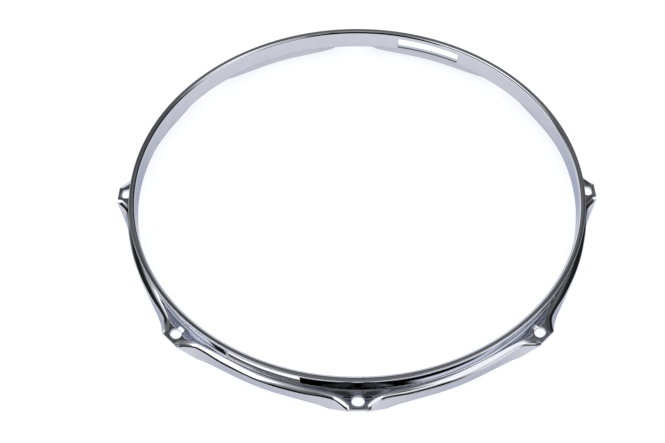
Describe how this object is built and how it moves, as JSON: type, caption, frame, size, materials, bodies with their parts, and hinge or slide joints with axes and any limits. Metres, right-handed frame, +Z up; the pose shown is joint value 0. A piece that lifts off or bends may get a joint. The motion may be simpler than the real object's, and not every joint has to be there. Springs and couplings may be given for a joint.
{
  "type": "drum hoop",
  "caption": "Triple-flanged pressed steel drum hoop for a 14 inch head, chromed, with eight open-ended tension ears and two snare gates.",
  "frame": {"origin": "on the hoop's axis, level with the skirt's lower edge", "axes": "+Z up along the hoop's axis, from the skirt to the top flange; +X through tension ear 1"},
  "size_m": [0.397, 0.397, 0.0288],
  "materials": {
    "chrome_plate": "polished steel with bright chromium plating"
  },
  "bodies": {
    "root": {"top_flange_1": "chrome_plate", "collar_1": "chrome_plate", "skirt_1": "chrome_plate", "tension_ear_1": "chrome_plate", "top_flange_2": "chrome_plate", "snare_gate_collar_2": "chrome_plate", "skirt_2": "chrome_plate", "tension_ear_2": "chrome_plate", "top_flange_3": "chrome_plate", "collar_3": "chrome_plate", "skirt_3": "chrome_plate", "tension_ear_3": "chrome_plate", "top_flange_4": "chrome_plate", "collar_4": "chrome_plate", "skirt_4": "chrome_plate", "tension_ear_4": "chrome_plate", "top_flange_5": "chrome_plate", "collar_5": "chrome_plate", "skirt_5": "chrome_plate", "tension_ear_5": "chrome_plate", "top_flange_6": "chrome_plate", "snare_gate_collar_6": "chrome_plate", "skirt_6": "chrome_plate", "tension_ear_6": "chrome_plate", "top_flange_7": "chrome_plate", "collar_7": "chrome_plate", "skirt_7": "chrome_plate", "tension_ear_7": "chrome_plate", "top_flange_8": "chrome_plate", "collar_8": "chrome_plate", "skirt_8": "chrome_plate", "tension_ear_8": "chrome_plate"}
  },
  "joints": []
}
